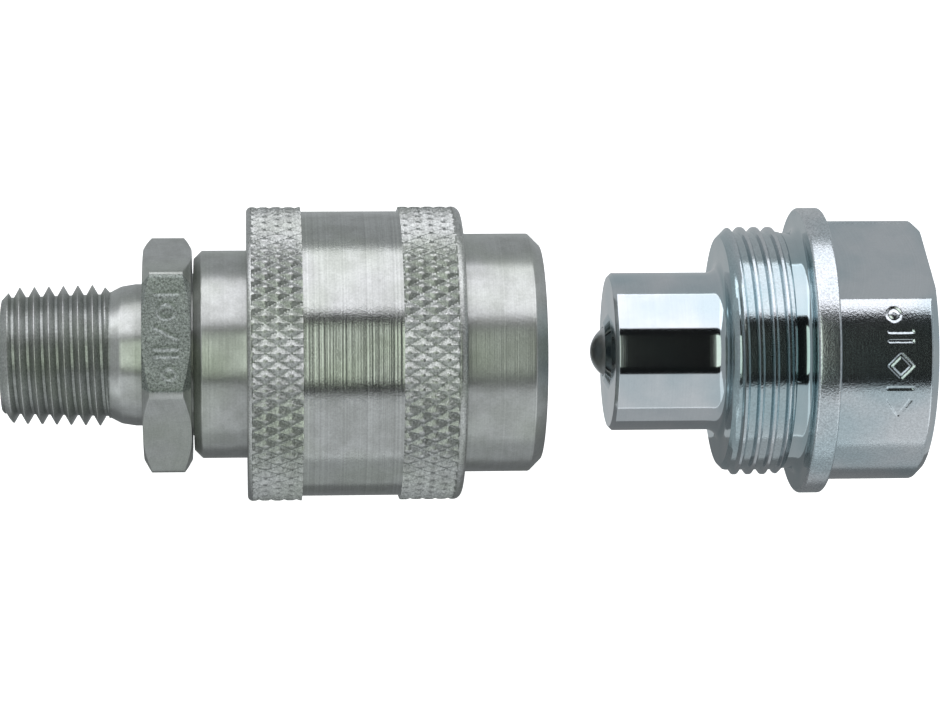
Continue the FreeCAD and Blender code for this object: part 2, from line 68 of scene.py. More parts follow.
def rounded(corners, step):
    # corners are (station, radius, rounding); a round corner becomes a short arc, long runs are divided
    spots = [np.array(corner[:2], float) for corner in corners]
    path = []
    for index, corner in enumerate(corners):
        here, rounding = spots[index], corner[2] if len(corner) > 2 else 0
        if rounding <= 0 or index in (0, len(corners) - 1):
            path.append(here)
            continue
        back, ahead = spots[index - 1] - here, spots[index + 1] - here
        # an arc may use just under half of a run, so that the next corner's has room
        reach = min(np.linalg.norm(back), np.linalg.norm(ahead)) * 0.49
        back, ahead = back / np.linalg.norm(back), ahead / np.linalg.norm(ahead)
        half = math.acos(max(-1, min(1, float(back @ ahead)))) / 2
        tangent = min(rounding / math.tan(half), reach)
        radius = tangent * math.tan(half)
        centre = here + (back + ahead) / np.linalg.norm(back + ahead) * radius / math.sin(half)
        first, last = here + back * tangent - centre, here + ahead * tangent - centre
        sweep = math.pi - 2 * half
        for part in np.linspace(0, 1, arcPoints):
            bend = first * math.sin((1 - part) * sweep) + last * math.sin(part * sweep)
            path.append(centre + bend / math.sin(sweep))
    out = [path[0]]
    for spot in path[1:]:
        length = np.linalg.norm(spot - out[-1])
        count = max(1, int(math.ceil(length / step - 0.01)))
        start = out[-1]
        out += [start + (spot - start) * number / count for number in range(1, count + 1)]
    return out


def turnedRows(corners, angles, step=0.8, shape=None):
    # one row of radii at each station, no further apart than step; shape may change them
    rows = []
    for station, radius in rounded(corners, step):
        stations = np.full(len(angles), station)
        radii = np.full(len(angles), radius)
        rows.append((stations, shape(stations, radii, angles) if shape else radii))
    return rows


def threadRows(thread, angles):
    # the rows climb along the helix, so that crests and roots lie on edges of the mesh;
    # a negative depth cuts an inside thread, and ease rounds the crests and roots a little
    start, end = thread["start"], thread["end"]
    crestHalf = thread["crestFlat"] / 2 / pitch
    rootHalf = crestHalf + abs(thread["depth"]) * flank / pitch
    parts = [-0.5, -(rootHalf + 0.5) / 2, *np.linspace(-rootHalf, -crestHalf, flankPoints),
             0, *np.linspace(crestHalf, rootHalf, flankPoints), (rootHalf + 0.5) / 2]
    turns = angles / (2 * math.pi)
    count = int(math.ceil((end - start) / pitch)) + 2
    rows = []
    for turn in range(-1, count):
        for part in parts:
            stations = np.clip(start + thread["phase"] + (turn - 1 + part + turns) * pitch, start, end)
            phase = (stations - start - thread["phase"]) / pitch - turns
            phase = np.abs(phase - np.round(phase))
            height = np.clip((rootHalf - phase) / (rootHalf - crestHalf), 0, 1)
            height = height - thread["ease"] * np.sin(2 * math.pi * height)
            root = thread["root"] + (stations - start) * thread.get("taper", 0)
            radii = root + height * thread["depth"]
            ends = ((stations - start, thread["startRadius"]), (end - stations, thread["endRadius"]))
            for away, radius in ends:
                radii = np.clip(radii, radius - away * thread["runOut"], radius + away * thread["runOut"])
            rows.append((stations, radii))
    return rows


def latheMesh(name, rows, angles, sharp=35):
    # joins the rows into one closed skin, the last row to the first; edges bent more than sharp stay crisp
    grid = np.zeros((len(rows), len(angles), 3))
    for number, (stations, radii) in enumerate(rows):
        grid[number, :, 0] = stations * milli
        grid[number, :, 1] = radii * np.cos(angles) * milli
        grid[number, :, 2] = radii * np.sin(angles) * milli + axisHeight
    tall, wide = len(rows), len(angles)
    here = np.arange(tall * wide).reshape(tall, wide)
    ahead = np.roll(here, -1, axis=0)
    faces = np.stack([here[:, :-1], here[:, 1:], ahead[:, 1:], ahead[:, :-1]], axis=-1).reshape(-1, 4)
    mesh = bpy.data.meshes.new(name)
    mesh.from_pydata(grid.reshape(-1, 3).tolist(), [], faces.tolist())
    work = bmesh.new()
    work.from_mesh(mesh)
    bmesh.ops.remove_doubles(work, verts=work.verts, dist=weldGap)
    bmesh.ops.dissolve_degenerate(work, edges=work.edges, dist=1e-6)
    bmesh.ops.recalc_face_normals(work, faces=work.faces)
    work.to_mesh(mesh)
    work.free()
    mesh.polygons.foreach_set("use_smooth", [True] * len(mesh.polygons))
    mesh.set_sharp_from_angle(angle=math.radians(sharp))
    piece = bpy.data.objects.new(name, mesh)
    bpy.context.scene.collection.objects.link(piece)
    return piece


def fullTurn(count, extra=()):
    # angles once round, with extra ones where the detail is fine
    base = np.linspace(0, 2 * math.pi, count + 1)
    return np.unique(np.round(np.concatenate([base, *extra]), 9)) if len(extra) else base


def softLeast(first, second, blend):
    # the lesser of two radii with the edge between them eased over
    gap = np.clip(0.5 + 0.5 * (second - first) / blend, 0, 1)
    return second * (1 - gap) + first * gap - blend * gap * (1 - gap)


def flatSided(flat, count, lean):
    # radius limit of evenly spaced flats; lean is from upright towards +Y
    middle = math.radians(90 - lean)
    def limit(angles):
        step = 2 * math.pi / count
        off = (angles - middle + step / 2) % step - step / 2
        return flat / np.maximum(np.cos(off), 0.05)
    return limit


def punched(across, along, strokes, width):
    # how deep each point lies in a set of punched strokes, 0 to 1; the outer part of a stroke slopes
    slope = width * 0.6
    depth = np.zeros(np.broadcast(across, along).shape)
    for kind, *size in strokes:
        if kind == "line":
            ax, ay, bx, by = size
            span = (bx - ax) ** 2 + (by - ay) ** 2
            part = np.clip(((across - ax) * (bx - ax) + (along - ay) * (by - ay)) / span, 0, 1)
            away = np.hypot(across - ax - part * (bx - ax), along - ay - part * (by - ay))
        else:
            cx, cy, radius = size
            away = np.abs(np.hypot(across - cx, along - cy) - radius)
        depth = np.maximum(depth, np.clip((width - away) / slope, 0, 1))
    return depth * depth * (3 - 2 * depth)


def finished(piece, node, body, material):
    piece.data.materials.clear()
    piece.data.materials.append(material)
    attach(piece, body)
    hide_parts(node)
    return piece


# materials

def linear(code):
    parts = [int(code[place:place + 2], 16) / 255 for place in (1, 3, 5)]
    return (*[p / 12.92 if p <= 0.04045 else ((p + 0.055) / 1.055) ** 2.4 for p in parts], 1.0)


def addNode(tree, kind, settings=None, links=None):
    node = tree.nodes.new(kind)
    for name, value in (settings or {}).items():
        if isinstance(name, int) or name in node.inputs:
            node.inputs[name].default_value = value
        else:
            setattr(node, name, value)
    for name, source in (links or {}).items():
        tree.links.new(source, node.inputs[name])
    return node


def newMaterial(name):
    material = bpy.data.materials.new(name)
    material.use_nodes = True
    material.node_tree.nodes.clear()
    return material, material.node_tree


def plated(name, look):
    # zinc plated turned steel: fine turning rings run round the axis, so highlights spread along the axis
    # and stay crisp across it; worn places are scuffed and pitted, and the painted darkening value makes recesses
    # darker as painted shade and makes the hexagon's top face darker
    material, tree = newMaterial(name)
    place = addNode(tree, "ShaderNodeTexCoord").outputs["Object"]
    split = addNode(tree, "ShaderNodeSeparateXYZ", links={0: place})
    lift = addNode(tree, "ShaderNodeMath", {"operation": "SUBTRACT", 1: axisHeight}, {0: split.outputs["Z"]})
    flatPart = addNode(tree, "ShaderNodeCombineXYZ", links={"X": split.outputs["Y"], "Y": lift.outputs[0]})
    radius = addNode(tree, "ShaderNodeVectorMath", {"operation": "LENGTH"}, {0: flatPart.outputs[0]})
    # rings step along the axis and, on end faces, outwards
    along = addNode(tree, "ShaderNodeMath", {"operation": "MULTIPLY_ADD", 1: 0.7},
                    {0: radius.outputs["Value"], 2: split.outputs["X"]})
    wander = addNode(tree, "ShaderNodeTexNoise", {"Scale": 1 / (look["swayLength"] * milli), "Detail": 2},
                     {"Vector": place})
    swayed = addNode(tree, "ShaderNodeMath", {"operation": "MULTIPLY_ADD", 1: look["sway"] * milli},
                     {0: wander.outputs["Fac"], 2: along.outputs[0]})
    fine = addNode(tree, "ShaderNodeTexNoise",
                   {"noise_dimensions": "1D", "Scale": 1 / (look["fineRings"] * milli), "Detail": 2,
                    "Roughness": 0.7}, {"W": swayed.outputs[0]})
    coarse = addNode(tree, "ShaderNodeTexNoise",
                     {"noise_dimensions": "1D", "Scale": 1 / (look["coarseRings"] * milli), "Detail": 1},
                     {"W": swayed.outputs[0]})
    blotch = addNode(tree, "ShaderNodeTexNoise",
                     {"Scale": 1 / (look["blotch"] * milli), "Detail": 4, "Roughness": 0.6}, {"Vector": place})
    grain = addNode(tree, "ShaderNodeTexNoise",
                    {"Scale": 1 / (look["grain"] * milli), "Detail": 2, "Roughness": 0.65}, {"Vector": place})
    worn = addNode(tree, "ShaderNodeAttribute", {"attribute_name": "worn"})
    darkening = addNode(tree, "ShaderNodeAttribute", {"attribute_name": "darkening"})

    # colour: two shades of plating, a film tint in wide patches, painted darkening (painted shade in recesses),
    # then rings and speckle as light and dark
    cover = addNode(tree, "ShaderNodeMapRange", {"From Min": 0.4, "From Max": 0.62},
                    {"Value": blotch.outputs["Fac"]})
    tone = addNode(tree, "ShaderNodeMix",
                   {"data_type": "RGBA", 6: linear(look["pale"]), 7: linear(look["dull"])}, {0: cover.outputs[0]})
    film = addNode(tree, "ShaderNodeTexNoise", {"Scale": 1 / (look["filmPatch"] * milli), "Detail": 1},
                   {"Vector": place})
    filmed = addNode(tree, "ShaderNodeMapRange", {"From Min": 0.42, "From Max": 0.66, "To Max": look["film"]},
                     {"Value": film.outputs["Fac"]})
    tinted = addNode(tree, "ShaderNodeMix", {"data_type": "RGBA", 7: linear(look["filmColour"])},
                     {0: filmed.outputs[0], 6: tone.outputs[2]})
    # painted shade: where the darkening value is set, the colour is mixed towards a dark tint that stands in for
    # shade in recesses
    darkeningMix = addNode(tree, "ShaderNodeMath", {"operation": "MULTIPLY", 1: look["darkeningMix"]},
                    {0: darkening.outputs["Fac"]})
    darkened = addNode(tree, "ShaderNodeMix", {"data_type": "RGBA", 7: linear(look["darkeningColour"])},
                     {0: darkeningMix.outputs[0], 6: tinted.outputs[2]})
    meanLight = 1 - (look["ringTone"] + look["coarseTone"]) / 2          # keeps the average shade as it was
    fineLight = addNode(tree, "ShaderNodeMath", {"operation": "MULTIPLY_ADD", 1: look["ringTone"], 2: meanLight},
                        {0: fine.outputs["Fac"]})
    ringLight = addNode(tree, "ShaderNodeMath", {"operation": "MULTIPLY_ADD", 1: look["coarseTone"]},
                        {0: coarse.outputs["Fac"], 2: fineLight.outputs[0]})
    speckle = addNode(tree, "ShaderNodeMath", {"operation": "SUBTRACT", 1: 0.5}, {0: grain.outputs["Fac"]})
    speckled = addNode(tree, "ShaderNodeMath",
                       {"operation": "MULTIPLY_ADD", 1: look["wornTone"], 2: look["grainTone"]},
                       {0: worn.outputs["Fac"]})
    light = addNode(tree, "ShaderNodeMath", {"operation": "MULTIPLY_ADD"},
                    {0: speckle.outputs[0], 1: speckled.outputs[0], 2: ringLight.outputs[0]})
    colour = addNode(tree, "ShaderNodeHueSaturation",
                     links={"Value": light.outputs[0], "Color": darkened.outputs[2]})

    # gloss: rings and patches vary it, wear dulls it
    rings = addNode(tree, "ShaderNodeMath",
                    {"operation": "MULTIPLY_ADD", 1: look["ringGloss"], 2: look["roughness"]},
                    {0: fine.outputs["Fac"]})
    patched = addNode(tree, "ShaderNodeMath", {"operation": "MULTIPLY_ADD", 1: look["blotchGloss"]},
                      {0: cover.outputs[0], 2: rings.outputs[0]})
    rough = addNode(tree, "ShaderNodeMath", {"operation": "MULTIPLY_ADD", 1: look["wornGloss"]},
                    {0: worn.outputs["Fac"], 2: patched.outputs[0]})

    # relief: rings and pits
    height = addNode(tree, "ShaderNodeMath", {"operation": "MULTIPLY_ADD", 1: look["coarseDepth"]},
                     {0: coarse.outputs["Fac"], 2: fine.outputs["Fac"]})
    pits = addNode(tree, "ShaderNodeMath",
                   {"operation": "MULTIPLY_ADD", 1: look["wornPits"], 2: look["pits"]}, {0: worn.outputs["Fac"]})
    pitted = addNode(tree, "ShaderNodeMath", {"operation": "MULTIPLY_ADD"},
                     {0: grain.outputs["Fac"], 1: pits.outputs[0], 2: height.outputs[0]})
    bump = addNode(tree, "ShaderNodeBump", {"Strength": look["bump"], "Distance": 0.02 * milli},
                   {"Height": pitted.outputs[0]})
    tangent = addNode(tree, "ShaderNodeTangent", {"direction_type": "RADIAL", "axis": "X"})
    shader = addNode(tree, "ShaderNodeBsdfPrincipled", {"Metallic": 1.0, "Anisotropic": look["streak"],
                                                        "Anisotropic Rotation": 0.25},
                     {"Base Color": colour.outputs[0], "Roughness": rough.outputs[0],
                      "Normal": bump.outputs[0], "Tangent": tangent.outputs[0]})
    addNode(tree, "ShaderNodeOutputMaterial", links={"Surface": shader.outputs[0]})
    return material


# lengths are millimetres; the rings and the speckle are drawn a little coarser than real so that they show
# satin: dull plating on a plain turned finish gives broad, soft highlights with a faint speckle
satinZinc = {"pale": "#BCBEBC", "dull": "#AEB0AD", "filmColour": "#B0B8A8", "film": 0.3, "filmPatch": 6.0,
             # the dark tint colour and its mix are painted shade in thread roots, knurl valleys and grooves, and
             # also darken the hexagon's top face
             "darkeningColour": "#66726C", "darkeningMix": 0.5, "fineRings": 0.16, "coarseRings": 0.45, "sway": 0.2,
             "swayLength": 16, "blotch": 2.2, "grain": 0.2, "ringTone": 0.2, "coarseTone": 0.08, "grainTone": 0.45,
             "wornTone": 2.2, "roughness": 0.26, "ringGloss": 0.06, "blotchGloss": 0.05, "wornGloss": 0.2,
             "coarseDepth": 0.5, "pits": 0.9, "wornPits": 3.0, "bump": 0.5, "streak": 0.6}
# coarse turned: the collar's deeper feed marks break its highlights into bright and dark rings
ringedZinc = {**satinZinc, "fineRings": 0.2, "ringTone": 0.4, "coarseTone": 0.3, "coarseDepth": 2.2, "bump": 1.0,
              "roughness": 0.17, "pits": 0.4}
# bright: clear blue passivate over a fine finish, so the studio shows in it nearly unblurred
brightZinc = {**satinZinc, "pale": "#D2D6D9", "dull": "#C4CBCF", "filmColour": "#A9C3CA", "film": 0.4,
              # a teal dark tint: painted shade in the nipple's thread roots, relief groove and front corner
              "filmPatch": 7.0, "darkeningColour": "#6F989C", "darkeningMix": 0.6, "blotch": 7.0, "ringTone": 0.06,
              "coarseTone": 0.03, "grainTone": 0.08, "wornTone": 1.2, "roughness": 0.06, "ringGloss": 0.04,
              "blotchGloss": 0.01, "wornGloss": 0.14, "coarseDepth": 0.15, "pits": 0.3, "wornPits": 14.0,
              "bump": 0.08, "streak": 0.5}
satinSteel = plated("satin zinc plated steel, turned", satinZinc)
ringedSteel = plated("satin zinc plated steel, coarse turned", ringedZinc)
brightSteel = plated("bright zinc plated steel, fine turned", brightZinc)


def simple(name, look):
    # one grain over a plain base, for the pieces inside
    material, tree = newMaterial(name)
    place = addNode(tree, "ShaderNodeTexCoord").outputs["Object"]
    grain = addNode(tree, "ShaderNodeTexNoise", {"Scale": 1 / (look["grain"] * milli), "Detail": 4},
                    {"Vector": place})
    colour = addNode(tree, "ShaderNodeMix",
                     {"data_type": "RGBA", 6: linear(look["pale"]), 7: linear(look["dull"])},
                     {0: grain.outputs["Fac"]})
    rough = addNode(tree, "ShaderNodeMath",
                    {"operation": "MULTIPLY_ADD", 1: look["spread"], 2: look["roughness"]},
                    {0: grain.outputs["Fac"]})
    bump = addNode(tree, "ShaderNodeBump", {"Strength": look["bump"], "Distance": 0.01 * milli},
                   {"Height": grain.outputs["Fac"]})
    shader = addNode(tree, "ShaderNodeBsdfPrincipled", {"Metallic": look["metallic"]},
                     {"Base Color": colour.outputs[2], "Roughness": rough.outputs[0],
                      "Normal": bump.outputs[0]})
    addNode(tree, "ShaderNodeOutputMaterial", links={"Surface": shader.outputs[0]})
    return material


# ground steel under dull plating: an even, soft mirror
ballSteel = simple("hardened ball steel, zinc plated",
                   {"pale": "#D2D4D4", "dull": "#BEC2C3", "grain": 0.5, "roughness": 0.26, "spread": 0.08,
                    "bump": 0.03, "metallic": 1.0})
# drawn wire: darker, with a slightly uneven gloss
springSteel = simple("spring steel, drawn",
                     {"pale": "#8D9094", "dull": "#6A6D72", "grain": 0.2, "roughness": 0.28, "spread": 0.15,
                      "bump": 0.3, "metallic": 1.0})
# moulded rubber: near black with a dull sheen
nitrile = simple("nitrile rubber, moulded",
                 {"pale": "#1B1B1C", "dull": "#101011", "grain": 0.12, "roughness": 0.5, "spread": 0.2,
                  "bump": 0.4, "metallic": 0.0})
# skived sheet: off-white and waxy
skivedPtfe = simple("ptfe, skived",
                    {"pale": "#ECE9E1", "dull": "#DAD6CB", "grain": 0.3, "roughness": 0.4, "spread": 0.15,
                     "bump": 0.3, "metallic": 0.0})
print("materials made")


def paint(piece, name, values):
    # a value at each point that the finish reads: one for painted shade in recesses and a darker hexagon face, worn
    # for scuffs
    layer = piece.data.attributes.new(name, "FLOAT", "POINT")
    layer.data.foreach_set("value", values.astype(np.float32))


def axisSpots(piece):
    # each point's station along the axis, its distance from it and its angle round it
    spots = np.zeros(len(piece.data.vertices) * 3)
    piece.data.vertices.foreach_get("co", spots)
    spots = spots.reshape(-1, 3) / milli
    lift = spots[:, 2] - axisHeight / milli
    return spots[:, 0], np.hypot(spots[:, 1], lift), np.arctan2(lift, spots[:, 1])


# hose adapter: thread, neck, hexagon and the spigot inside the body
adapter = {"threadCrest": 6.62, "threadLength": 10.5, "threadDepth": 0.95, "crestFlat": 0.07, "firstCrest": 0.31,
           "taper": 1 / 32, "threadRunOut": 1.1, "leadRadius": 5.45, "runOutRadius": 6.15, "shoulder": 6.72,
           "shoulderEnd": 11.6, "shoulderRound": 1.2, "neckStart": 13.0, "neckRadius": 6.95, "neckRound": 0.5,
           "hexStart": 13.8, "hexEnd": 18.5, "hexFlats": 20.64, "hexCorner": 11.7, "hexLean": 11.5, "hexEdge": 0.06,
           "bevelLength": 0.75, "bevelDepth": 1.35, "bevelRound": 0.05, "cornerRound": 0.08,
           "spigotRadius": 7.95, "spigotEnd": 27.5, "bore": 3.2, "boreLead": 0.4,
           "grooveStart": 19.3, "grooveEnd": 21.4, "grooveRadius": 6.4,
           # the valley value paints shade into the thread roots; the face value paints the hexagon's top face
           # darker
           "markDepth": 0.08, "markWidth": 0.26, "valleyShade": 0.6, "faceDarkening": 1.2, "threadWear": 0.35,
           # plain punched strokes on the hexagon's top face, across it and along it
           "mark": [("line", -3.9, -1.0, -3.9, 1.0), ("ring", -2.2, 0, 0.75), ("line", -0.6, -1.0, 0.5, 1.0),
                    ("line", 1.5, -1.0, 1.5, 1.0), ("line", 2.2, -1.0, 2.2, 1.0), ("ring", 3.9, 0.3, 0.55)]}


def hoseAdapter(size):
    lean = math.radians(90 - size["hexLean"])
    face = math.radians(30)                               # half of one side of the hexagon
    angles = fullTurn(300, [np.arange(lean - face, lean + face, 0.012)])
    limit = flatSided(size["hexFlats"] / 2, 6, size["hexLean"])
    at = lambda station: hoseEnd + station
    hexStart, hexEnd, bevel = at(size["hexStart"]), at(size["hexEnd"]), size["bevelLength"]

    def hexShape(stations, radii, angles):
        cut = softLeast(radii, limit(angles), size["hexEdge"])
        across = np.tan(np.clip(angles - lean, -0.6, 0.6)) * size["hexFlats"] / 2
        along = stations - hoseEnd - (size["hexStart"] + size["hexEnd"]) / 2
        near = np.abs(angles - lean) < face
        return cut - size["markDepth"] * near * punched(across, along, size["mark"], size["markWidth"])

    thread = {"start": at(0), "end": at(size["threadLength"]), "root": size["threadCrest"] - size["threadDepth"],
              "depth": size["threadDepth"], "taper": size["taper"], "crestFlat": size["crestFlat"], "ease": 0,
              "phase": size["firstCrest"], "startRadius": size["leadRadius"], "endRadius": size["runOutRadius"],
              "runOut": size["threadRunOut"]}
    bevelRadius = size["hexCorner"] - size["bevelDepth"]
    hexRows = turnedRows([(hexStart, size["neckRadius"]), (hexStart, bevelRadius, size["bevelRound"]),
                          (hexStart + bevel, size["hexCorner"], size["cornerRound"]),
                          (hexEnd - bevel, size["hexCorner"], size["cornerRound"]),
                          (hexEnd, bevelRadius, size["bevelRound"]), (hexEnd, size["spigotRadius"])],
                         angles, 0.11, hexShape)
    rows = [*turnedRows([(at(size["spigotEnd"]), size["bore"]), (at(size["boreLead"]), size["bore"]),
                         (at(0), size["bore"] + size["boreLead"]), (at(0), size["leadRadius"])], angles),
            *threadRows(thread, angles),
            *turnedRows([(at(size["threadLength"]), size["runOutRadius"]),
                         (at(size["shoulderEnd"]), size["shoulder"], size["shoulderRound"]),
                         (at(size["neckStart"]), size["neckRadius"], size["neckRound"]),
                         (hexStart, size["neckRadius"])], angles, 0.3),
            *hexRows,
            *turnedRows([(at(size["grooveStart"]), size["spigotRadius"]),
                         (at(size["grooveStart"]), size["grooveRadius"]),
                         (at(size["grooveEnd"]), size["grooveRadius"]),
                         (at(size["grooveEnd"]), size["spigotRadius"]),
                         (at(size["spigotEnd"]), size["spigotRadius"])], angles, 1.5)]
    piece = latheMesh("hoseAdapterSteel", rows, angles)
    stations, radii, turns = axisSpots(piece)
    crest = size["threadCrest"] + (stations - hoseEnd) * size["taper"]
    inThread = (stations < at(size["threadLength"])) & (radii > size["bore"] + 1)
    # painted shade: the thread roots are painted darker the deeper they lie
    valley = size["valleyShade"] * np.clip((crest - radii) / size["threadDepth"], 0, 1) * inThread
    # the hexagon's top face is the scuffed one, and it is painted darker
    away = np.abs((turns - lean + math.pi) % (2 * math.pi) - math.pi)
    onHex = (stations > hexStart) & (stations < hexEnd) & (radii > size["hexFlats"] / 2 - 0.3)
    topFace = np.clip((face - away) / 0.015, 0, 1) * onHex
    paint(piece, "darkening", np.maximum(valley, size["faceDarkening"] * topFace))
    paint(piece, "worn", np.maximum(topFace, size["threadWear"] * inThread))
    return finished(piece, "hose_adapter", "coupler", satinSteel)


# coupler body: plain cylinder and nose outside, socket and valve chamber inside
couplerSize = {"rear": 18.7, "step": 42.85, "mouth": 52.7, "radius": 10.2, "noseRadius": 11.75, "rearBevel": 0.8,
               "noseBevel": 1.2, "socket": 7.86, "socketFloor": 41.36, "lead": 0.8, "seatPocket": 6.0,
               "seatStart": 36.47, "chamber": 4.4, "chamberStart": 28.76, "stopPocket": 6.5, "rearBore": 8.0,
               "rearBoreEnd": 27.53,
               "gland": (47.0, 50.0, 9.55), "snapGroove": (40.5, 41.16, 6.35)}    # start, end and radius


def couplerBody(size):
    angles = fullTurn(320)
    glandStart, glandEnd, glandRadius = size["gland"]
    snapStart, snapEnd, snapRadius = size["snapGroove"]
    rear, mouth, step, socket = size["rear"], size["mouth"], size["step"], size["socket"]
    # station, radius and how far the edge is rounded
    corners = [(rear, size["rearBore"]), (rear, size["radius"] - size["rearBevel"], 0.12),
               (rear + size["rearBevel"], size["radius"], 0.25), (step, size["radius"], 0.1),
               (step, size["noseRadius"], 0.25), (mouth - size["noseBevel"], size["noseRadius"], 0.3),
               (mouth, size["noseRadius"] - size["noseBevel"], 0.25),
               (mouth, socket + size["lead"], 0.15), (mouth - size["lead"], socket, 0.1),
               (glandEnd, socket, 0.08), (glandEnd, glandRadius), (glandStart, glandRadius),
               (glandStart, socket, 0.08), (size["socketFloor"], socket),
               (size["socketFloor"], size["seatPocket"]), (snapEnd, size["seatPocket"]), (snapEnd, snapRadius),
               (snapStart, snapRadius), (snapStart, size["seatPocket"]), (size["seatStart"], size["seatPocket"]),
               (size["seatStart"], size["chamber"]), (size["chamberStart"], size["chamber"]),
               (size["chamberStart"], size["stopPocket"]), (size["rearBoreEnd"], size["stopPocket"]),
               (size["rearBoreEnd"], size["rearBore"])]
    rows = turnedRows([(hoseEnd + corner[0], *corner[1:]) for corner in corners], angles, 1.2)
    piece = latheMesh("couplerBodySteel", rows, angles)
    return finished(piece, "coupler_body", "coupler", satinSteel)


# coupling collar: two knurled bands with a waist between, and the inside thread
collarSize = {"length": 20.95, "bandRadius": 14.45, "waist": 14.0, "rearBandStart": 0.45, "rearBandEnd": 5.3,
              "frontBandStart": 14.9, "frontBandEnd": 20.05, "rearRound": 0.8, "frontRound": 1.35, "rearRim": 1.0,
              "frontRim": 1.6, "lipBore": 10.35, "lipLength": 2.4, "lipBevel": 0.25, "ringRoom": 3.29,
              "ringRadius": 12.65, "bore": 12.5, "mouthLead": 0.4, "threadStart": 12.75, "threadEnd": 20.15,
              "threadDepth": 0.65, "crestFlat": 0.18, "firstCrest": 2.1555, "threadEase": 0.03, "threadRunOut": 1.0,
              "knurlCount": 62, "knurlLength": 2.48, "knurlDepth": 0.33, "knurlTip": 1.35,
              # the valley value paints shade into the knurl's valleys
              "valleyShade": 0.4, "bandWear": 0.6, "rimWear": 0.5}


def couplingCollar(size):
    parts = 10                                            # mesh divisions across one diamond
    angles = fullTurn(size["knurlCount"] * parts)
    at = lambda station: collarRear + station
    rearStart, rearEnd = at(size["rearBandStart"]), at(size["rearBandEnd"])
    frontStart, frontEnd = at(size["frontBandStart"]), at(size["frontBandEnd"])
    mouth, band, waist, bore = at(size["length"]), size["bandRadius"], size["waist"], size["bore"]

    def knurl(stations, radii, angles):
        # two crossing sets of grooves, 30 degrees from the axis, leave diamonds with slightly flat tips
        around = angles * size["knurlCount"] / (2 * math.pi)
        along = (stations - rearStart) / size["knurlLength"]
        first, second = [1 - 2 * np.abs(line - np.floor(line) - 0.5) for line in (around + along, around - along)]
        groove = np.clip(1 - size["knurlTip"] * np.minimum(first, second), 0, 1)
        return radii - size["knurlDepth"] * groove * ((stations > rearStart) & (stations < frontEnd))

    step = size["knurlLength"] / parts / 1.8              # rows lie closer than the divisions around
    thread = {"start": at(size["threadStart"]), "end": at(size["threadEnd"]), "root": bore,
              "depth": -size["threadDepth"], "crestFlat": size["crestFlat"], "ease": size["threadEase"],
              "phase": size["firstCrest"], "startRadius": bore, "endRadius": bore, "runOut": size["threadRunOut"]}
    rows = [*turnedRows([(at(size["lipLength"]), size["lipBore"]), (at(size["lipBevel"]), size["lipBore"], 0.05),
                         (at(0), size["lipBore"] + size["lipBevel"], 0.05), (at(0), band - size["rearRim"])],
                        angles, 1.2),
            *turnedRows([(at(0), band - size["rearRim"]), (at(0), band, size["rearRound"]), (rearEnd, band)],
                        angles, step, knurl),
            *turnedRows([(rearEnd, waist), (frontStart, waist)], angles, 1.5),
            *turnedRows([(frontStart, band), (mouth, band, size["frontRound"]), (mouth, band - size["frontRim"])],
                        angles, step, knurl),
            *turnedRows([(mouth, band - size["frontRim"]), (mouth, bore + size["mouthLead"], 0.05),
                         (mouth - size["mouthLead"], bore)], angles, 0.4),
            *threadRows(thread, angles)[::-1],
            *turnedRows([(at(size["threadStart"]), bore), (at(size["ringRoom"]), bore),
                         (at(size["ringRoom"]), size["ringRadius"]),
                         (at(size["lipLength"]), size["ringRadius"])], angles, 2.5)]
    piece = latheMesh("couplingCollarSteel", rows, angles, 24)
    stations, radii = axisSpots(piece)[:2]
    inRear = (stations > rearStart) & (stations < rearEnd)
    inFront = (stations > frontStart) & (stations < frontEnd)
    inBand = (inRear | inFront) & (radii > waist - 0.1)
    onRim = ((stations < rearStart) | (stations > frontEnd)) & (radii > band - size["frontRim"])
    # painted shade: the knurl's valleys are painted darker the deeper they lie
    paint(piece, "darkening", size["valleyShade"] * np.clip((band - radii) / size["knurlDepth"], 0, 1) * inBand)
    paint(piece, "worn", size["bandWear"] * inBand + size["rimWear"] * onRim)
    return finished(piece, "coupling_collar", "collar", ringedSteel)


